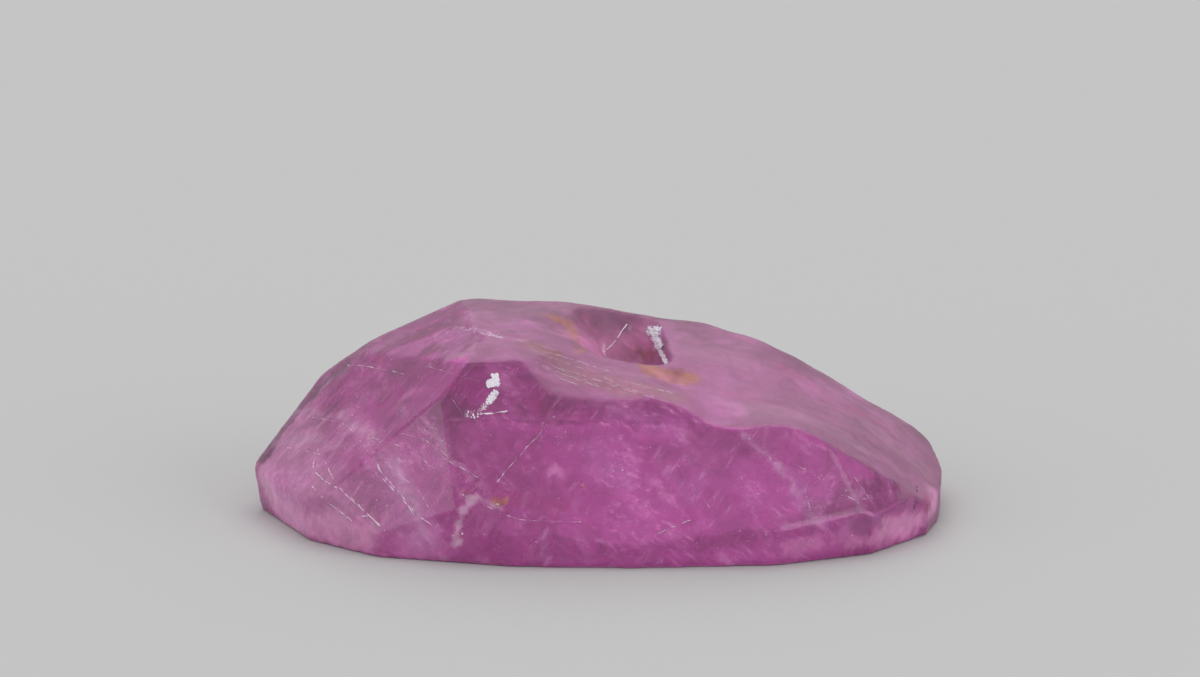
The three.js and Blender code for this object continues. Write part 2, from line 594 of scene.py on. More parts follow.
PATCHES: tuple[Patch, ...] = (
    # Milky left end, and what crosses it
    Patch(Tone.PALE, ((292, 432), (318, 505)), 4.8, 0.9),
    Patch(Tone.PALE, ((330, 522), (425, 548)), 2.3, 0.6),
    Patch(Tone.PALE, ((345, 418), (372, 442), (397, 472), (430, 536)), 1.7, 0.6),
    Patch(Tone.LILAC, ((395, 480), (420, 530)), 2.2, 0.5),
    Patch(Tone.DEEP, ((330, 452), (347, 440)), 0.7, 0.5),
    # Painted light on the lower left rim and the left end.
    Patch(Tone.GLOW, ((262, 476), (282, 512), (335, 530), (360, 536)), 2.1, 0.9),
    Patch(Tone.GLOW, ((262, 470), (300, 440)), 1.2, 0.4),
    # Painted dark reflection: the dark sliver along the upper left edge.
    Patch(Tone.PAINTED_DARK_REFLECTION, ((260, 461), (288, 425), (305, 403), (324, 384), (347, 366)),
          0.75, 0.95, 0.45),
    # The dark clear part below the cut strip
    Patch(Tone.DEEP, ((368, 392), (400, 372), (440, 374)), 1.7, 0.85),
    Patch(Tone.DEEP, ((425, 402), (462, 440), (520, 470)), 2.7, 0.8),
    # Painted shade that darkens this part further.
    Patch(Tone.STRIP, ((405, 382), (440, 376), (474, 392)), 1.8, 0.4),
    Patch(Tone.RED, ((378, 352), (384, 378)), 0.6, 0.5),
    Patch(Tone.VIVID, ((505, 425), (560, 470), (640, 500)), 3.4, 0.6),
    Patch(Tone.RED, ((536, 396), (548, 408)), 0.7, 0.45),
    Patch(Tone.RED, ((500, 500), (560, 505)), 0.9, 0.35),
    Patch(Tone.LILAC, ((590, 454), (622, 480)), 1.8, 0.6),
    Patch(Tone.DEEP, ((700, 436), (765, 448)), 1.5, 0.7),
    Patch(Tone.VIVID, ((640, 425), (700, 490)), 2.4, 0.5),
    Patch(Tone.VIVID, ((800, 462), (880, 492)), 1.8, 0.6),
    Patch(Tone.DEEP, ((800, 448), (858, 478)), 0.8, 0.4),
    Patch(Tone.LILAC, ((748, 436), (782, 470), (822, 524)), 0.9, 0.6),
    Patch(Tone.LILAC, ((725, 455), (760, 500)), 1.4, 0.35),
    # Bands that stand at the foot of the front
    Patch(Tone.LILAC, ((545, 530), (545, 562)), 0.5, 0.6),
    Patch(Tone.DEEP, ((560, 528), (562, 560)), 0.5, 0.6),
    Patch(Tone.LILAC, ((578, 534), (580, 562)), 0.45, 0.5),
    Patch(Tone.DEEP, ((600, 530), (600, 562)), 0.55, 0.6),
    Patch(Tone.LILAC, ((640, 530), (660, 560)), 0.6, 0.4),
    # Right-hand rim, with painted light
    # Painted light on the right and lower right rim, for the table's reflection.
    Patch(Tone.GLOW, ((885, 532), (910, 524), (936, 500)), 1.5, 0.85),
    Patch(Tone.GLOW, ((790, 548), (880, 534)), 0.9, 0.6),
    Patch(Tone.LILAC, ((842, 530), (876, 520)), 1.0, 0.7),
    Patch(Tone.LILAC, ((664, 468), (690, 496), (700, 480)), 1.0, 0.6),
    Patch(Tone.LILAC, ((610, 400), (660, 430), (720, 480)), 1.2, 0.4),
    Patch(Tone.DEEP, ((664, 450), (730, 470)), 0.9, 0.5),
    Patch(Tone.LILAC, ((850, 440), (880, 470), (892, 500)), 0.6, 0.5),
    Patch(Tone.RED, ((926, 496), (928, 506)), 0.8, 0.6),
    Patch(Tone.MOSS, ((916, 489), (915, 505)), 0.22, 0.8),
    Patch(Tone.OCHRE, ((917, 464), (924, 471)), 0.4, 0.6),
    # Skin of the long right slope
    Patch(Tone.PALE_SKIN, ((745, 412), (800, 415), (860, 448)), 1.6, 0.8),
    Patch(Tone.PALE_SKIN, ((690, 345), (740, 360)), 2.6, 0.5),
    Patch(Tone.ROSE, ((725, 394), (752, 396)), 0.9, 0.8),
    Patch(Tone.ROSE, ((730, 336), (760, 344)), 0.7, 0.7),
    Patch(Tone.ROSE, ((785, 368), (812, 384)), 1.1, 0.8),
    Patch(Tone.ROSE, ((830, 396), (880, 425)), 0.9, 0.7),
    Patch(Tone.RED, ((836, 408), (866, 416)), 0.5, 0.35),
    Patch(Tone.PALE_SKIN, ((872, 428), (925, 470)), 1.6, 0.7),
    Patch(Tone.PALE, ((838, 418), (885, 446)), 1.4, 0.35),
    # Cut strip at the upper left, darkened with painted shade, and the top
    Patch(Tone.STRIP, ((388, 346), (425, 332), (452, 322)), 1.8, 0.95, 0.5),
    Patch(Tone.STRIP, ((430, 350), (462, 344), (472, 338)), 1.3, 0.95, 0.4),
    Patch(Tone.STRIP, ((456, 322), (464, 332), (472, 340)), 1.0, 0.9, 0.4),
    Patch(Tone.STRIP, ((440, 358), (456, 355), (470, 348)), 0.9, 0.95, 0.4),
    Patch(Tone.STRIP, ((350, 382), (370, 384), (384, 394)), 1.6, 0.75),
    Patch(Tone.PALE_SKIN, ((450, 358), (463, 356), (473, 347)), 0.7, 0.8, 0.5),
    Patch(Tone.PALE, ((370, 352), (402, 336)), 0.8, 0.3),
    Patch(Tone.PALE_SKIN, ((480, 314), (560, 308)), 1.6, 0.6),
    # Worn rim of the top, and a white spot on it: partly real wear, partly painted highlight.
    Patch(Tone.FROST_AND_PAINTED_HIGHLIGHT, ((456, 326), (470, 330), (488, 334), (520, 341)), 0.32, 0.4),
    Patch(Tone.FROST_AND_PAINTED_HIGHLIGHT, ((492, 334), (503, 337)), 0.34, 0.95),
    # Broad soft strands of healed cracks behind the front
    Patch(Tone.VEIL, ((340, 418), (372, 438), (397, 472), (426, 532)), 0.55, 0.55),
    Patch(Tone.VEIL, ((352, 428), (400, 452), (440, 470)), 0.35, 0.35),
    Patch(Tone.VEIL, ((398, 406), (428, 426), (452, 462), (482, 484)), 0.42, 0.5),
    Patch(Tone.VEIL, ((270, 412), (300, 410), (340, 420)), 0.5, 0.35),
    Patch(Tone.VEIL, ((275, 440), (310, 436), (345, 450)), 0.5, 0.35),
    Patch(Tone.VEIL, ((404, 446), (440, 462), (470, 500)), 0.4, 0.3),
    Patch(Tone.VEIL, ((745, 434), (776, 464), (802, 502), (820, 524)), 0.4, 0.5),
    Patch(Tone.VEIL, ((770, 462), (788, 470)), 0.5, 0.5),
    Patch(Tone.FROST_AND_PAINTED_HIGHLIGHT, ((456, 540), (462, 512), (475, 494), (500, 508)), 0.36, 0.7),
    Patch(Tone.FROST_AND_PAINTED_HIGHLIGHT, ((450, 540), (461, 538)), 0.4, 0.6),
    Patch(Tone.LILAC, ((800, 500), (860, 498)), 1.2, 0.5),
    Patch(Tone.OCHRE, ((494, 498), (503, 503)), 0.45, 0.9),
    Patch(Tone.RUST, ((466, 492), (470, 490)), 0.26, 0.7),
    Patch(Tone.OCHRE, ((583, 484), (588, 487)), 0.24, 0.8),
    # The ridge before the pit, and its iron stains
    Patch(Tone.TAN, ((530, 345), (570, 370), (625, 388), (672, 396)), 1.5, 0.85),
    Patch(Tone.PALE_SKIN, ((590, 366), (640, 376)), 0.8, 0.6),
    Patch(Tone.OCHRE, ((652, 370), (668, 377), (686, 378)), 1.4, 0.85, 0.6),
    Patch(Tone.RUST, ((674, 382), (684, 372)), 0.7, 0.6),
    Patch(Tone.RUST, ((533, 345), (550, 352), (562, 354)), 0.42, 0.8),
    Patch(Tone.OCHRE, ((553, 316), (568, 322), (574, 330)), 0.9, 0.75),
    Patch(Tone.MOSS, ((512, 331), (514, 333)), 0.24, 0.7),
    # The pit's walls, with a painted highlight and a painted highlight streak
    Patch(Tone.PIT, ((580, 340), (640, 345)), 2.4, 0.8),
    Patch(Tone.RUST, ((645, 352), (655, 358)), 0.7, 0.6),
    Patch(Tone.ROSE, ((588, 320), (600, 334)), 0.7, 0.8),
    Patch(Tone.ROSE, ((622, 352), (640, 362)), 0.8, 0.6),
    # Painted highlight streak down the pit's back wall.
    Patch(Tone.FROST_AND_PAINTED_HIGHLIGHT, ((627, 325), (604, 352)), 0.4, 1.0, 0.7),
    Patch(Tone.OCHRE, ((572, 330), (578, 350)), 0.7, 0.6),
    # Painted highlight on the pit's right wall.
    Patch(Tone.FROST_AND_PAINTED_HIGHLIGHT, ((648, 330), (656, 346)), 0.5, 0.9),
)


@dataclass(frozen=True)
class Streak:
    """A set of slanting streaks, and the span of the broad noise over which it appears."""

    turn: float
    stretch: float
    per_mm: float
    span: Span


STREAKS: tuple[Streak, ...] = (
    Streak(0.66, 16.0, 2.6, (0.42, 0.58)),
    Streak(0.80, 4.0, 0.75, (0.40, 0.60)),
    Streak(-0.95, 10.0, 2.2, (0.54, 0.42)),
    Streak(-1.10, 3.0, 0.60, (0.56, 0.40)),
)


@dataclass(frozen=True)
class RubyFinish:
    """The stone's own material: clear to milky, glossy where cut and satin on its skin."""

    core: Tone = Tone.VIVID
    skin: Tone = Tone.SKIN
    base_milk: float = 0.22
    skin_milk: float = 0.38
    skin_share: float = 0.92
    milk_lag: float = 2.0
    shade_lead: float = 0.5
    # How far the patches' edges wander, and how often
    seed: int = 11
    broad_stir: float = 0.55 * MM
    fine_stir: float = 0.35 * MM
    broad_per_mm: float = 0.45
    fine_per_mm: float = 1.9
    # Noises: lumps to the millimetre, finer layers, and how strong those are
    warp: Grain = (0.6, 3.0, 0.6)
    cloud: Grain = (0.20, 4.0, 0.6)
    fine: Grain = (1.1, 5.0, 0.7)
    fibre: Grain = (1.3, 4.0, 0.6)
    grit: Grain = (2.4, 4.0, 0.55)
    dust: Grain = (5.0, 2.0, 0.5)
    warp_reach: float = 1.8 * MM
    fibre_turn: Colour = (0.35, math.radians(34), 0.2)
    fibre_stretch: Colour = (5.0, 1.2, 0.8)
    # Dust and slanting streaks
    dust_span: Span = (0.62, 0.78)
    dust_share: float = 0.55
    streak_tilt: Span = (0.2, 0.3)
    streak_layers: Span = (5.0, 0.62)
    streak_span: Span = (0.46, 0.76)
    wisp_lost_on_skin: float = 0.6
    wisp_limit: float = 1.25
    wisp_tone: float = 0.62
    wisp_milk: float = 0.36
    # Milk, colour and lightness, each by the noise that stirs it
    milk_by_fine: float = 0.35
    milk_by_cloud: float = 0.4
    lilac_span: Span = (0.46, 0.70)
    lilac_share: float = 0.3
    light: float = 0.98
    light_by_fine: float = 0.6
    light_by_fibre: float = 0.3
    light_by_skin_fibre: float = 0.7
    light_by_cloud: float = 0.8
    # Roughness and relief
    polish: float = 0.05
    rough_by_fine: float = 0.10
    satin: float = 0.30
    satin_by_fine: float = 0.25
    worn_rough: float = 0.15
    bump_strength: float = 0.22
    bump_height: float = 0.10 * MM
    bump_by_fibre: float = 0.6
    bump_by_grit: float = 0.5
    bump_by_fine: float = 0.04
    # Light in the stone
    full_gleam: float = 0.5
    milky_gleam: float = 0.22
    absorbed: Colour = (0.85, 0.12, 0.72)
    strength: float = 85.0

    def principled(self, graph: Graph, colour: Any, rough: Any, normal: Any, through: float,
                   gleam: float) -> Any:
        """Add one surface shader.

        Args:
            graph: The material's tree.
            colour: The base colour.
            rough: The roughness.
            normal: The normal.
            through: The share of light that goes through.
            gleam: The strength of the surface's reflection, 0.5 as the refraction gives it.

        Returns:
            The shader's output.
        """
        made = graph.node("ShaderNodeBsdfPrincipled", {"distribution": "MULTI_GGX"}, {
            "Base Color": colour, "Roughness": rough, "Normal": normal,
            "Transmission Weight": through, "IOR": REFRACTION, "Specular IOR Level": gleam})
        return made.outputs[0]

    def paint(self, stone: Stone, view: View) -> None:
        """Lay the patches over the stone's points, as the attributes that its material reads.

        Args:
            stone: The stone, which says where the patches lie.
            view: The photograph's view.
        """
        noise.seed_set(self.seed)
        data = stone.body.data
        count = len(data.vertices)
        places = np.empty(count * 3)
        data.vertices.foreach_get("co", places)
        places = places.reshape(count, 3)
        skin = np.empty(count)
        data.attributes["skin"].data.foreach_get("value", skin)
        broad, fine = np.array([self.stir(place) for place in places]).transpose(1, 0, 2)
        places = places + (self.broad_stir * broad + self.fine_stir * fine)
        tone = np.empty((count, 3))
        tone[:] = self.core.value[0]
        milk = self.base_milk + self.skin_milk * skin ** self.milk_lag
        shade_share = self.skin_share * skin ** self.shade_lead
        tone += shade_share[:, None] * (np.array(self.skin.value[0]) - tone)
        # Some patches are painted light and shade: the rim light, the dark reflection, the strip's
        # shade and the highlights.
        for patch in PATCHES:
            shade, milky = patch.tone.value
            path = [np.array(stone.at(view, pixel)) for pixel in patch.path]
            mask = patch.share * self.mask(places, path, patch.half_width * MM, patch.edge)
            tone += mask[:, None] * (np.array(shade) - tone)
            milk += mask * (milky - milk)
        colours = data.attributes.new("tone", "FLOAT_COLOR", "POINT")
        colours.data.foreach_set("color", np.c_[tone, np.ones(count)].ravel())
        data.attributes.new("milk", "FLOAT", "POINT").data.foreach_set("value", milk)

    def stir(self, place: Sequence[float]) -> tuple[Vector, Vector]:
        """Return the broad and the fine wander of the patches' edges at a place."""
        spot = Vector(place) / MM
        return (noise.noise_vector(spot * self.broad_per_mm),
                noise.noise_vector(spot * self.fine_per_mm))

    def wisps(self, graph: Graph, place: Any, cloud: Value) -> Value:
        """Make a mask of fine slanting streaks and dust, as healed cracks show in clear ruby.

        Args:
            graph: The material's tree.
            place: The position that is shaded.
            cloud: The broad noise, which gathers the streaks in groups.

        Returns:
            The mask.
        """
        result = graph.noise(place, *self.dust).ramp(*self.dust_span) * self.dust_share
        for streak in STREAKS:
            turn = (self.streak_tilt[0], streak.turn, self.streak_tilt[1])
            slanted = graph.turned(place, turn, (streak.stretch, 1.0, 1.0))
            lines = graph.noise(slanted, streak.per_mm, *self.streak_layers)
            shown = lines.ramp(*self.streak_span) * cloud.ramp(*streak.span)
            result = result.larger(shown)
        return result

    @staticmethod
    def mask(places: np.ndarray, path: Sequence[np.ndarray], reach: float,
             edge: float) -> np.ndarray:
        """Say how much of a patch each place has, from its distance to the patch's line.

        Args:
            places: The places, one a row.
            path: The line's points.
            reach: Where the patch has faded away.
            edge: The share of the reach over which it fades.

        Returns:
            One share per place.
        """
        nearest = np.full(len(places), np.inf)
        for start, end in zip(path[:-1], path[1:]):
            along = end - start
            share = np.clip((places - start) @ along / (along @ along), 0.0, 1.0)
            away = np.linalg.norm(places - start - share[:, None] * along, axis=1)
            nearest = np.minimum(nearest, away)
        inward = np.clip((reach - nearest) / (reach * edge), 0.0, 1.0)
        return inward * inward * (3 - 2 * inward)

    def material(self) -> bpy.types.Material:
        """Make the material.

        Returns:
            The material.
        """
        made, graph = new_material("ruby")
        place = graph.node("ShaderNodeTexCoord").outputs["Object"]
        skin, worn = graph.attribute("skin"), graph.attribute("worn")
        warp = graph.noise(place, *self.warp, output=1)
        shift = graph.vector("SUBTRACT", warp, (MIDDLE, MIDDLE, MIDDLE))
        bent = graph.vector("ADD", place, graph.vector("SCALE", shift, scale=self.warp_reach))
        cloud = graph.noise(bent, *self.cloud)
        fine = graph.noise(bent, *self.fine)
        fibres = graph.noise(graph.turned(bent, self.fibre_turn, self.fibre_stretch), *self.fibre)
        grit = graph.noise(place, *self.grit)
        broadly, finely, along = cloud - MIDDLE, fine - MIDDLE, fibres - MIDDLE
        milk = graph.attribute("milk") + finely * self.milk_by_fine + broadly * self.milk_by_cloud
        colour = graph.mix(cloud.ramp(*self.lilac_span) * self.lilac_share,
                           graph.attribute("tone", "Color"), Tone.LILAC.value[0])
        wisp = (self.wisps(graph, place, cloud) * (1 - self.wisp_lost_on_skin * skin)
                * (self.wisp_limit - milk).held())
        colour = graph.mix(wisp * self.wisp_tone, colour, Tone.VEIL.value[0])
        milk = milk + wisp * self.wisp_milk
        light = (finely * self.light_by_fine
                 + along * (self.light_by_fibre + self.light_by_skin_fibre * skin)
                 + broadly * self.light_by_cloud + self.light)
        shade = graph.node("ShaderNodeHueSaturation", {}, {"Color": colour, "Value": light})
        colour = shade.outputs[0]
        rough = (self.polish + self.rough_by_fine * fine
                 + skin * (self.satin + self.satin_by_fine * fine) + worn * self.worn_rough)
        relief = graph.node("ShaderNodeBump", {}, {
            "Strength": self.bump_strength, "Distance": self.bump_height,
            "Height": skin * (fibres * self.bump_by_fibre + grit * self.bump_by_grit)
            + fine * self.bump_by_fine})
        normal = relief.outputs[0]
        milky = self.principled(graph, colour, rough, normal, 0.0, self.milky_gleam)
        clear = self.principled(graph, WHITE, rough, normal, 1.0, self.full_gleam)
        both = graph.node("ShaderNodeMixShader", {}, {0: milk.held(), 1: clear, 2: milky})
        inner = graph.node("ShaderNodeVolumeAbsorption", {}, {
            "Color": (*self.absorbed, 1.0), "Density": self.strength})
        graph.node("ShaderNodeOutputMaterial", {}, {
            "Surface": both.outputs[0], "Volume": inner.outputs[0]})
        return made


@dataclass(frozen=True)
class FleckFinish:
    """The material of what is enclosed in the stone, droplets, flakes, needles and specks, and of
    the flakes that paint glints.
    """

    name: str
    light: Colour
    dark: Colour
    rough: float
    mottle: Grain = (2.2, 3.0, 0.6)
    dark_span: Span = (0.35, 0.65)
    rough_by_mottle: float = 0.15

    def material(self) -> bpy.types.Material:
        """Return the material, made once and mottled from its light to its dark colour."""
        made = bpy.data.materials.get(self.name)
        if made is not None:
            return made
        made, graph = new_material(self.name)
        place = graph.node("ShaderNodeTexCoord").outputs["Object"]
        mottle = graph.noise(place, *self.mottle)
        colour = graph.mix(mottle.ramp(*self.dark_span), self.light, self.dark)
        surface = graph.node("ShaderNodeBsdfPrincipled", {}, {
            "Base Color": colour, "Roughness": self.rough + self.rough_by_mottle * mottle})
        graph.node("ShaderNodeOutputMaterial", {}, {"Surface": surface.outputs[0]})
        return made


class Fleck(Enum):
    """The kinds of enclosed matter, and the white flakes that paint glints and highlights."""

    DROPLET = FleckFinish("healed_crack", (0.95, 0.86, 0.93), (0.80, 0.60, 0.76), 0.3)
    NEEDLE = FleckFinish("white_needle", (0.97, 0.90, 0.95), (0.88, 0.74, 0.86), 0.3)
    # White flakes: partly real flakes, partly painted glints and highlights.
    SPARK = FleckFinish("flake_and_painted_glint", (1.0, 0.98, 1.0), (0.92, 0.86, 0.98), 0.12)
    LILAC = FleckFinish("lilac_flake", (0.85, 0.62, 0.95), (0.75, 0.40, 0.80), 0.2)
    IRON = FleckFinish("iron_stain", (0.75, 0.32, 0.12), (0.42, 0.12, 0.06), 0.6)
    PALE_GREEN = FleckFinish("pale_green_film", (0.80, 0.84, 0.68), (0.72, 0.62, 0.62), 0.4)
    DARK = FleckFinish("dark_speck", (0.07, 0.06, 0.05), (0.03, 0.02, 0.03), 0.5)


# What is enclosed in the stone, and the white flakes that paint highlights on it


@dataclass(frozen=True)
class Veil:
    """A healed crack, or white flakes that paint a highlight: a ribbon of droplets or flakes behind
    pixels of the photograph.

    The half width is in pixels. The depth, the droplets' size, their scatter and how much
    deeper the ribbon's one side leans are in millimetres.
    """

    name: str
    fleck: Fleck
    path: tuple[Pixel, ...]
    half_width: float
    depth: float
    per_mm2: float
    size: float
    scatter: float = 0.25
    lean: float = 0.8


@dataclass(frozen=True)
class Needle:
    """Thin crystals, crack edges and painted highlight lines through pixels of the photograph,
    sized in millimetres.
    """

    paths: tuple[tuple[Pixel, ...], ...]
    depth: float
    radius: float
    fleck: Fleck = Fleck.NEEDLE


VEILS: tuple[Veil, ...] = (
    Veil("left_veil", Fleck.DROPLET, ((342, 420), (368, 436), (395, 468), (420, 520)),
         8, 0.5, 70, 0.030),
    Veil("upper_veil", Fleck.DROPLET, ((398, 408), (425, 425), (450, 462), (480, 482)),
         8, 0.6, 70, 0.032),
    # White flakes at and over the pit wall's surface: a painted highlight.
    Veil("pit_painted_highlight", Fleck.SPARK, ((648, 331), (660, 333)), 3.8, -0.1, 650, 0.062, 0.15, 0.0),
    Veil("pit_painted_highlight_low", Fleck.SPARK, ((655, 337), (661, 347)), 2.8, -0.1, 600, 0.056, 0.12, 0.0),
    Veil("pit_painted_highlight_tail", Fleck.SPARK, ((657, 346), (667, 363)), 1.8, 0.0, 220, 0.048, 0.03, 0.0),
    Veil("left_mist", Fleck.DROPLET, ((300, 425), (345, 470), (380, 520)), 34, 1.6, 5, 0.026, 0.8),
    Veil("loop_dust", Fleck.DROPLET, ((325, 470), (350, 500), (380, 525)), 13, 0.8, 16, 0.026),
    Veil("small_cloud", Fleck.DROPLET, ((394, 404), (404, 410)), 5, 0.9, 70, 0.045),
    Veil("arch_left", Fleck.PALE_GREEN, ((456, 542), (462, 512), (472, 494)), 4, 0.5, 60, 0.05),
    Veil("arch_top", Fleck.DROPLET, ((464, 500), (482, 494), (498, 508)), 6, 0.5, 80, 0.05),
    Veil("arch_foot", Fleck.SPARK, ((450, 541), (461, 538)), 5, 0.4, 45, 0.05),
    Veil("arch_rust", Fleck.IRON, ((490, 497), (503, 503)), 5, 0.45, 55, 0.06),
    Veil("arch_rust_left", Fleck.IRON, ((465, 492), (470, 490)), 3, 0.45, 55, 0.05),
    # White flakes at the surface: a painted highlight where a fracture reflects the light, with its
    # streak below.
    Veil("painted_highlight_blob", Fleck.SPARK, ((487, 384), (499, 382)), 3.6, 0.06, 900, 0.066, 0.02, 0.0),
    Veil("painted_highlight_blob_top", Fleck.SPARK, ((492, 377), (498, 376)),
         2.0, 0.06, 900, 0.066, 0.02, 0.0),
    Veil("painted_highlight_streak", Fleck.SPARK, ((497, 391), (489, 402)), 3.0, 0.05, 700, 0.055, 0.03, 0.0),
    Veil("painted_highlight_streak_low", Fleck.SPARK, ((489, 402), (478, 413)),
         2.6, 0.04, 240, 0.045, 0.06, 0.0),
    Veil("bright_cluster", Fleck.SPARK, ((464, 413), (478, 417)), 3.6, 0.05, 120, 0.045, 0.1, 0.1),
    Veil("bright_dust", Fleck.SPARK, ((462, 414), (500, 396)), 10, 0.4, 12, 0.03, 0.4),
    Veil("rim_sparks", Fleck.SPARK, ((466, 328), (502, 337)), 2.5, 0.0, 26, 0.032, 0.05, 0.0),
    Veil("bright_feet", Fleck.SPARK, ((468, 412), (484, 424)), 4, 0.2, 30, 0.045, 0.2),
    Veil("rose_sparks", Fleck.SPARK, ((540, 428), (556, 418)), 4, 0.12, 60, 0.036, 0.06, 0.1),
    Veil("rose_sparks_low", Fleck.LILAC, ((540, 440), (566, 434)), 8, 0.12, 20, 0.036, 0.06, 0.1),
    Veil("rose_sparks_mid", Fleck.SPARK, ((552, 442), (564, 434)), 4, 0.12, 40, 0.034, 0.06, 0.1),
    Veil("lilac_cloud", Fleck.DROPLET, ((586, 462), (606, 466), (624, 478)),
         15, 1.2, 12, 0.036, 0.6),
    Veil("cloud_rust", Fleck.IRON, ((583, 484), (587, 486)), 2, 0.6, 60, 0.05),
    Veil("feather", Fleck.DROPLET, ((672, 492), (688, 484), (702, 480)), 7, 1.0, 22, 0.034),
    Veil("right_veil", Fleck.DROPLET, ((744, 434), (776, 462), (800, 500), (816, 522)),
         6, 0.9, 28, 0.034),
    Veil("right_veil_patch", Fleck.LILAC, ((772, 464), (788, 468)), 7, 0.7, 24, 0.04),
    Veil("right_glints", Fleck.SPARK, ((800, 468), (826, 484), (868, 502)),
         7, 0.12, 10, 0.032, 0.06, 0.1),
    Veil("foot_dust", Fleck.DROPLET, ((480, 548), (600, 552), (760, 548)), 9, 0.5, 12, 0.026, 0.2),
    Veil("foot_sparks", Fleck.LILAC, ((400, 534), (600, 549), (760, 542)),
         9, 0.12, 6, 0.03, 0.06, 0.1),
    Veil("right_foot_dust", Fleck.DROPLET, ((690, 548), (770, 536), (850, 530)),
         14, 0.3, 9, 0.030, 0.4),
    Veil("right_foot_sparks", Fleck.SPARK, ((680, 548), (760, 534), (830, 524)),
         9, 0.12, 6, 0.03, 0.06, 0.1),
    Veil("rim_veil", Fleck.LILAC, ((890, 530), (912, 526)), 6, 0.12, 22, 0.032, 0.06, 0.1),
    Veil("mid_dust", Fleck.DROPLET, ((440, 470), (600, 440), (760, 480)), 45, 1.2, 1.6, 0.022, 0.9),
    Veil("sparse_sparks", Fleck.SPARK, ((340, 482), (600, 492), (850, 482)),
         38, 0.12, 0.5, 0.028, 0.06, 0.1),
)

NEEDLES: dict[str, Needle] = {
    "loop_lines": Needle((
        ((322, 440), (317, 452), (313, 466), (315, 472), (326, 482),
         (345, 492), (364, 510), (385, 531)),
        ((325, 462), (333, 478), (345, 494), (364, 511)),
        ((312, 486), (325, 500), (345, 515), (352, 521)),
        ((352, 516), (370, 516), (380, 525)),
    ), 0.45, 0.018),
    "middle_lines": Needle((
        ((382, 478), (396, 492), (410, 508), (424, 532)),
        ((388, 480), (404, 498), (418, 516), (436, 527)),
        ((373, 455), (380, 470), (392, 486)),
    ), 0.45, 0.017),
    # A white thread that paints a line of highlight.
    "painted_highlight_line": Needle((((480, 414), (494, 413), (508, 411)),), 0.15, 0.030, Fleck.SPARK),
    "upper_lines": Needle((
        ((426, 366), (445, 371), (462, 377), (480, 381)),
        ((347, 365), (366, 366), (386, 370)),
        ((392, 371), (404, 374)),
        ((451, 398), (457, 406), (463, 416)),
    ), 0.5, 0.012),
    "slanting_line": Needle((((545, 428), (528, 446), (512, 464), (497, 482)),), 0.6, 0.014),
    "left_feathers": Needle((
        ((306, 416), (334, 421), (348, 426), (358, 438), (372, 456), (379, 470)),
        ((368, 438), (386, 450), (405, 463)),
        ((402, 433), (426, 440), (438, 452), (452, 463), (473, 475)),
        ((372, 438), (393, 443), (419, 456), (442, 475), (463, 494)),
        ((421, 426), (435, 440), (442, 452), (459, 466), (478, 478)),
        ((285, 447), (311, 452), (327, 456)),
        ((375, 452), (398, 474), (420, 492), (441, 530)),
    ), 0.4, 0.009, Fleck.DROPLET),
    "right_lines": Needle((
        ((742, 432), (760, 448), (776, 464), (790, 470)),
        ((790, 466), (804, 487), (811, 513), (821, 522)),
        ((793, 463), (816, 475), (835, 494)),
        ((804, 466), (821, 475), (830, 484)),
        ((809, 501), (830, 501)),
        ((844, 463), (858, 482), (873, 504)),
        ((677, 463), (689, 482), (703, 499), (710, 508)),
        ((572, 415), (582, 408), (593, 404)),
        ((632, 426), (646, 415)),
        ((482, 503), (499, 513), (522, 520), (581, 522)),
        ((840, 494), (856, 500), (872, 498)),
    ), 0.5, 0.010, Fleck.DROPLET),
    # A white thread over the pit's wall that paints its highlight streak.
    "pit_painted_highlight_streak": Needle((((627, 324), (617, 338)), ((616, 341), (604, 352))), -1.0, 0.022),
    "dark_specks": Needle((((917, 486), (917, 492)),
                           ((916, 501), (914, 509))), 0.3, 0.035, Fleck.DARK),
    "green_streak": Needle((((652, 536), (668, 529), (690, 520)),), 0.5, 0.016, Fleck.PALE_GREEN),
    "ridge_fibres": Needle((
        ((536, 356), (552, 366), (574, 376), (596, 384)),
        ((542, 366), (560, 378), (580, 386)),
        ((600, 376), (625, 388), (655, 396)),
        ((612, 386), (640, 394), (668, 402)),
        ((531, 350), (552, 358), (580, 368), (606, 377)),
        ((535, 362), (560, 373), (590, 384), (612, 390)),
        ((548, 352), (580, 362), (610, 372)),
        ((620, 380), (650, 388), (676, 394)),
        ((560, 368), (590, 378), (620, 386)),
        ((640, 384), (668, 392), (690, 400)),
    ), 0.12, 0.010, Fleck.DROPLET),
}


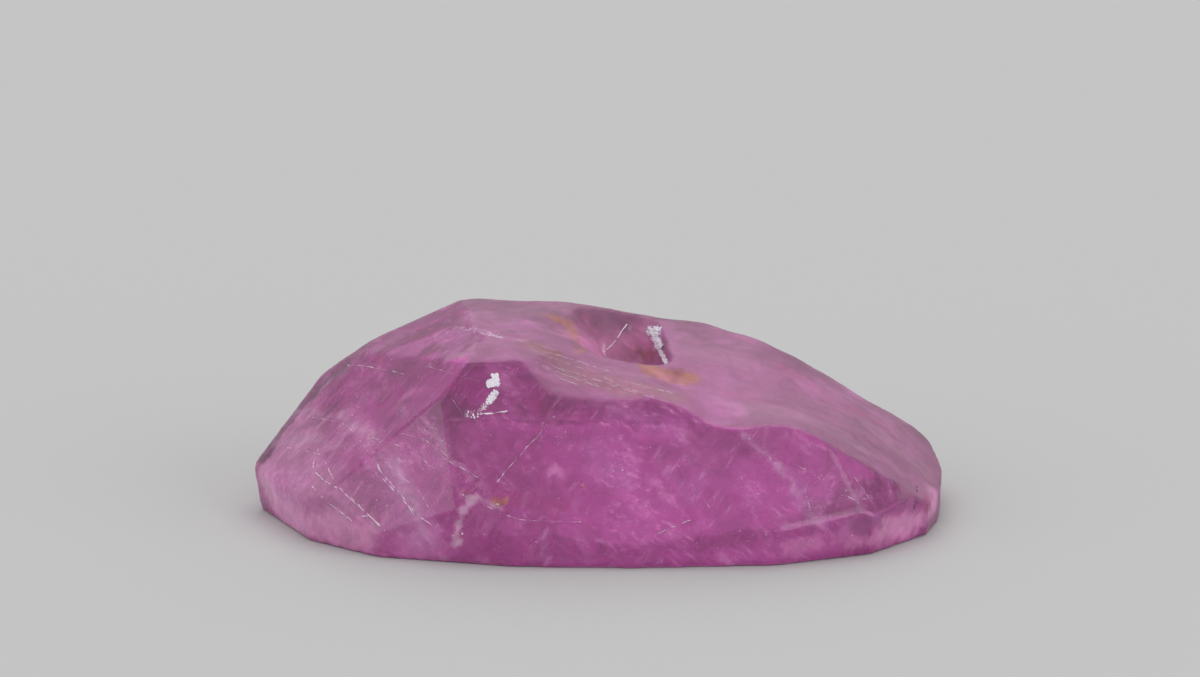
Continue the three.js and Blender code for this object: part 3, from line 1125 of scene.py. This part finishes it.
@dataclass
class Inclusions:
    """The makers of veils and needles, one Geometry Nodes tree each."""

    stone: Stone
    view: View
    seed: int = 7
    step: float = 6.0            # in pixels
    ribbon: tuple[Span, ...] = ((-1.0, 0.0), (0.0, 0.5), (1.0, 1.0))     # across, and leaning
    depth_share: float = 0.4
    size_share: float = 1.75
    droplet_points: int = 12
    droplet_shape: Colour = (1.0, 0.75, 0.35)
    least_size: float = 0.35
    size_span: float = 1.3
    size_power: float = 3.0
    cover: float = 0.02 * MM
    bare_depth: float = 0.1      # in millimetres, the depth over which droplets are covered
    needle_depth: float = 0.05
    needle_share: float = 1.9
    thread_sides: int = 5
    thread_span: Span = (0.25, 1.35)
    thread_step: float = 0.22 * MM
    thread_waver: float = 0.03 * MM

    @staticmethod
    def opened(name: str, sizes: Sequence[str]) -> tuple[Graph, Any]:
        """Start a tree.

        Args:
            name: The tree's name.
            sizes: The names of the plain numbers that it is given.

        Returns:
            The tree's builder, and the sockets of what it is given.
        """
        tree = bpy.data.node_groups.new(name, "GeometryNodeTree")
        kinds = {"Geometry": "Geometry", **{size: "Float" for size in sizes},
                 "Seed": "Int", "Material": "Material"}
        for label, kind in kinds.items():
            tree.interface.new_socket(label, in_out="INPUT", socket_type="NodeSocket" + kind)
        tree.interface.new_socket("Geometry", in_out="OUTPUT", socket_type="NodeSocketGeometry")
        graph = Graph(tree)
        return graph, graph.node("NodeGroupInput").outputs

    @staticmethod
    def shaken(graph: Graph, given: Any, points: bpy.types.NodeSocket,
               reach: str) -> bpy.types.NodeSocket:
        """Move points by chance.

        Args:
            graph: The tree's builder.
            given: The sockets of what the tree is given.
            points: The points or the curve.
            reach: The name of the distance up to which each axis moves.

        Returns:
            What has moved.
        """
        chance = graph.chance((-1.0, -1.0, -1.0), (1.0, 1.0, 1.0), given["Seed"])
        moved = graph.node("GeometryNodeSetPosition", {}, {
            "Geometry": points, "Offset": graph.vector("SCALE", chance, scale=given[reach])})
        return moved.outputs[0]

    @staticmethod
    def closed(graph: Graph, given: Any, made: bpy.types.NodeSocket) -> bpy.types.NodeTree:
        """Make what a tree grows real, give it the material and return the tree."""
        real = graph.node("GeometryNodeRealizeInstances", {}, {"Geometry": made})
        dressed = graph.node("GeometryNodeSetMaterial", {}, {
            "Geometry": real.outputs[0], "Material": given["Material"]})
        graph.node("NodeGroupOutput", {}, {"Geometry": dressed.outputs[0]})
        return graph.tree

    def scatter_tree(self) -> bpy.types.NodeTree:
        """Return the tree that scatters flat droplets over a ribbon."""
        graph, given = self.opened("droplets_on_ribbon", ("Density", "Size", "Scatter"))
        seed = given["Seed"]
        points = graph.node("GeometryNodeDistributePointsOnFaces", {}, {
            "Mesh": given["Geometry"], "Density": given["Density"], "Seed": seed})
        drop = graph.node("GeometryNodeMeshIcoSphere", {}, {"Radius": 1.0, "Subdivisions": 1})
        lens = graph.node("GeometryNodeTransform", {}, {
            "Geometry": drop.outputs["Mesh"], "Scale": self.droplet_shape})
        share = graph.chance(0.0, 1.0, seed).power(self.size_power)
        copies = graph.node("GeometryNodeInstanceOnPoints", {}, {
            "Points": self.shaken(graph, given, points.outputs["Points"], "Scatter"),
            "Instance": lens.outputs[0],
            "Rotation": graph.chance((0.0, 0.0, 0.0), (math.tau, math.tau, math.tau), seed),
            "Scale": (self.least_size + self.size_span * share) * Value(graph, given["Size"])})
        return self.closed(graph, given, copies.outputs[0])

    def thread_tree(self) -> bpy.types.NodeTree:
        """Return the tree that makes uneven threads along lines."""
        graph, given = self.opened("thread_on_line", ("Radius", "Step", "Waver"))
        line = graph.node("GeometryNodeMeshToCurve", {}, {"Mesh": given["Geometry"]})
        even = graph.node("GeometryNodeResampleCurve", {"mode": "LENGTH"}, {
            "Curve": line.outputs[0], "Length": given["Step"]})
        radius = graph.chance(*self.thread_span, given["Seed"]) * Value(graph, given["Radius"])
        sized = graph.node("GeometryNodeSetCurveRadius", {}, {
            "Curve": self.shaken(graph, given, even.outputs[0], "Waver"), "Radius": radius})
        ring = graph.node("GeometryNodeCurvePrimitiveCircle", {}, {
            "Resolution": self.thread_sides, "Radius": 1.0})
        tube = graph.node("GeometryNodeCurveToMesh", {}, {
            "Curve": sized.outputs[0], "Profile Curve": ring.outputs[0], "Fill Caps": True})
        if "Scale" in tube.inputs:
            graph.tree.links.new(radius.socket, tube.inputs["Scale"])
        return self.closed(graph, given, tube.outputs[0])

    def grown(self, name: str, seed_mesh: bpy.types.Mesh, tree: bpy.types.NodeTree,
              sizes: dict[str, Any]) -> bpy.types.Object:
        """Run a tree on a mesh and keep what it makes as a plain mesh.

        Args:
            name: The piece's name.
            seed_mesh: The ribbon or the lines.
            tree: The Geometry Nodes tree.
            sizes: The tree's inputs by name.

        Returns:
            The piece, riding on the stone's body.
        """
        piece = linked(name, seed_mesh)
        live = piece.modifiers.new("grow", "NODES")
        live.node_group = tree
        for item in tree.interface.items_tree:
            if item.item_type == "SOCKET" and item.in_out == "INPUT" and item.name in sizes:
                live[item.identifier] = sizes[item.name]
        made = grown_mesh(piece)
        made.name = name
        made.materials.clear()
        made.materials.append(sizes["Material"])
        piece.data = made
        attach(piece, "root")
        return piece

    def sink(self, droplets: bpy.types.Mesh) -> None:
        """Move each droplet that stands out of the stone to just under its surface.

        Args:
            droplets: The droplets' mesh, in which all have the same number of points.
        """
        places = np.empty(len(droplets.vertices) * 3)
        droplets.vertices.foreach_get("co", places)
        for droplet in places.reshape(-1, self.droplet_points, 3):
            heart = Vector(droplet.mean(axis=0))
            spot, normal, _, _ = self.stone.surface.find_nearest(heart)
            height = (heart - spot).dot(normal) + self.cover
            if height > 0:
                droplet -= height * np.array(normal)
        droplets.vertices.foreach_set("co", places)
        droplets.update()

    def fine_path(self, path: tuple[Pixel, ...]) -> list[Pixel]:
        """Return the path with points added every few pixels."""
        fine: list[Pixel] = []
        for start, end in zip(path[:-1], path[1:]):
            steps = max(1, round(math.dist(start, end) / self.step))
            fine += [(start[0] + (end[0] - start[0]) * i / steps,
                      start[1] + (end[1] - start[1]) * i / steps) for i in range(steps)]
        return fine + [path[-1]]

    def veil(self, veil: Veil, tree: bpy.types.NodeTree, seed: int) -> bpy.types.Object:
        """Make one veil.

        Args:
            veil: What it is and where it lies.
            tree: The tree that scatters the droplets.
            seed: The number that fixes its chance.

        Returns:
            The piece.
        """
        path = self.fine_path(veil.path)
        rows: list[list[Vector]] = []
        for index, pixel in enumerate(path):
            before, after = path[max(index - 1, 0)], path[min(index + 1, len(path) - 1)]
            length = math.dist(before, after) or 1.0
            side = ((before[1] - after[1]) / length, (after[0] - before[0]) / length)
            row = []
            for share, extra in self.ribbon:
                spot = (pixel[0] + side[0] * share * veil.half_width,
                        pixel[1] + side[1] * share * veil.half_width)
                depth = self.depth_share * (veil.depth + extra * veil.lean)
                row.append(self.stone.inside(self.view, spot, depth * MM))
            rows.append(row)
        verts = [tuple(point) for row in rows for point in row]
        faces = []
        for r in range(len(rows) - 1):
            for c in range(2):
                low = 3 * r + c
                faces.append((low, low + 1, low + 4, low + 3))
        mesh = bpy.data.meshes.new(veil.name)
        mesh.from_pydata(verts, [], faces)
        piece = self.grown(veil.name, mesh, tree, {
            "Density": veil.per_mm2 / (MM * MM), "Size": self.size_share * veil.size * MM,
            "Scatter": veil.scatter * MM, "Seed": seed, "Material": veil.fleck.value.material()})
        if veil.depth > self.bare_depth:
            self.sink(piece.data)
        return piece

    def needle(self, name: str, needle: Needle, tree: bpy.types.NodeTree,
               seed: int) -> bpy.types.Object:
        """Make one group of needles.

        Args:
            name: The piece's name.
            needle: What it is and where it lies.
            tree: The tree that makes the threads.
            seed: The number that fixes its chance.

        Returns:
            The piece.
        """
        verts: list[tuple[float, ...]] = []
        edges: list[tuple[int, int]] = []
        for path in needle.paths:
            points = [self.stone.inside(self.view, pixel, self.needle_depth * needle.depth * MM)
                      for pixel in self.fine_path(path)]
            first = len(verts)
            verts += [tuple(point) for point in points]
            edges += [(first + i, first + i + 1) for i in range(len(points) - 1)]
        mesh = bpy.data.meshes.new(name)
        mesh.from_pydata(verts, edges, [])
        return self.grown(name, mesh, tree, {
            "Radius": self.needle_share * needle.radius * MM, "Step": self.thread_step,
            "Waver": self.thread_waver, "Seed": seed,
            "Material": needle.fleck.value.material()})

    def build(self) -> list[bpy.types.Object]:
        """Make every veil and needle group and return the pieces."""
        scatter, thread = self.scatter_tree(), self.thread_tree()
        made = [self.veil(veil, scatter, self.seed + index) for index, veil in enumerate(VEILS)]
        made += [self.needle(name, needle, thread, self.seed + index)
                 for index, (name, needle) in enumerate(NEEDLES.items())]
        return made


# The table and the light


@dataclass(frozen=True)
class Lamp:
    """A soft light from far away, its angles in degrees."""

    name: str
    azimuth: float
    height: float
    strength: float
    spread: float

    def place(self) -> None:
        """Add the lamp, so that it shines from its azimuth and height."""
        data = bpy.data.lights.new(self.name, "SUN")
        data.energy = self.strength
        data.angle = math.radians(self.spread)
        turn = Matrix.Rotation(math.radians(self.azimuth), 4, "Z")
        tip = Matrix.Rotation(math.radians(90 - self.height), 4, "X")
        linked(self.name, data).matrix_world = turn @ tip


@dataclass(frozen=True)
class Studio:
    """The pale table and the soft light of the photograph. It isn't part of the object."""

    half_width: float = 2.5
    gap: float = 0.03 * MM
    table: Colour = (0.590, 0.590, 0.590)
    world: float = 0.62
    lamps: tuple[Lamp, ...] = (
        Lamp("overhead", 180.0, 62.0, 0.85, 70.0),
        Lamp("front_left", -62.0, 14.0, 0.38, 50.0),
        Lamp("front_right", 58.0, 14.0, 0.65, 50.0),
    )

    def build(self) -> None:
        """Lay the table and hang the lights."""
        side = self.half_width
        data = bpy.data.meshes.new("table")
        ends = [(x * side, y * side, -self.gap) for x, y in ((-1, -1), (1, -1), (1, 1), (-1, 1))]
        data.from_pydata(ends, [], [(0, 1, 2, 3)])
        table = linked("table", data)
        made, graph = new_material("pale_table")
        cloth = graph.node("ShaderNodeBsdfDiffuse", {}, {"Color": (*self.table, 1.0)})
        graph.node("ShaderNodeOutputMaterial", {}, {"Surface": cloth.outputs[0]})
        data.materials.append(made)
        sky = bpy.data.worlds.new("studio")
        sky.use_nodes = True
        graph = Graph(sky.node_tree)
        glow = graph.node("ShaderNodeBackground", {}, {"Color": WHITE, "Strength": self.world})
        graph.node("ShaderNodeOutputWorld", {}, {"Surface": glow.outputs[0]})
        bpy.context.scene.world = sky
        for lamp in self.lamps:
            lamp.place()
        bpy.context.scene.view_settings.view_transform = "Standard"
        bpy.context.scene.view_settings.look = "None"


def main() -> None:
    """Build the view, the stone and the studio, and report each piece."""
    logging.basicConfig(level=logging.INFO, format="%(message)s", stream=sys.stdout)
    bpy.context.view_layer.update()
    view = View()
    view.place()
    stone = Stone()
    piece = stone.build()
    LOG.info("%s: %d triangles", piece.name, len(piece.data.polygons))
    piece.data.materials.clear()
    finish = RubyFinish()
    finish.paint(stone, view)
    piece.data.materials.append(finish.material())
    for fleck in Inclusions(stone, view).build():
        LOG.info("%s: %d faces", fleck.name, len(fleck.data.polygons))
    Studio().build()


if __name__ == "__main__":
    main()
